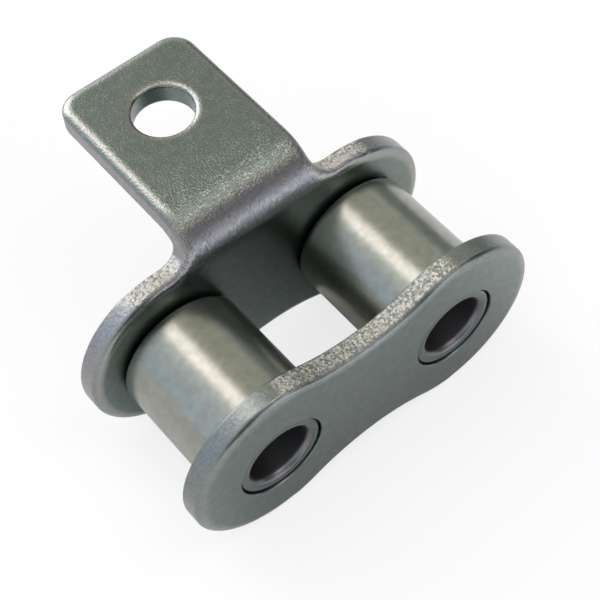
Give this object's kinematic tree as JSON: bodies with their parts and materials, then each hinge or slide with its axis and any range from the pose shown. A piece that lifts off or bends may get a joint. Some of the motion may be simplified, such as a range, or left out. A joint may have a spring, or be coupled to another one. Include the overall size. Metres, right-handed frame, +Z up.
{
  "type": "roller chain attachment link",
  "caption": "Inner link of a roller chain: waisted side plates, pressed bushings, free-turning rollers and a bent tab with a bolt hole.",
  "frame": {"origin": "on the axis of the left bushing's bore, midway between the two side plates", "axes": "+X along the chain from the left bushing to the right one, +Y across the chain to the plate with the tab, along the bushings' bores, +Z up, the way the tab's top face looks"},
  "size_m": [0.0243, 0.0226, 0.0141],
  "materials": {
    "plate_steel": "satin plated, with a fine frosted grain and brighter sheared edges",
    "bushing_steel": "satin plated, smooth",
    "roller_steel": "satin plated, smooth, slightly glossier than the plates"
  },
  "bodies": {
    "link": {"plain_plate": "plate_steel", "tab_plate": "plate_steel", "bushing_left": "bushing_steel", "bushing_right": "bushing_steel"},
    "left_roller": {"roller_left": "roller_steel"},
    "right_roller": {"roller_right": "roller_steel"}
  },
  "joints": [
    {"name": "left_roller_spin", "type": "hinge", "parent": "link", "child": "left_roller", "pos_m": [0, 0, 0], "axis": [0, 1, 0], "continuous": true},
    {"name": "right_roller_spin", "type": "hinge", "parent": "link", "child": "right_roller", "pos_m": [0.0127, 0, 0], "axis": [0, 1, 0], "continuous": true}
  ]
}
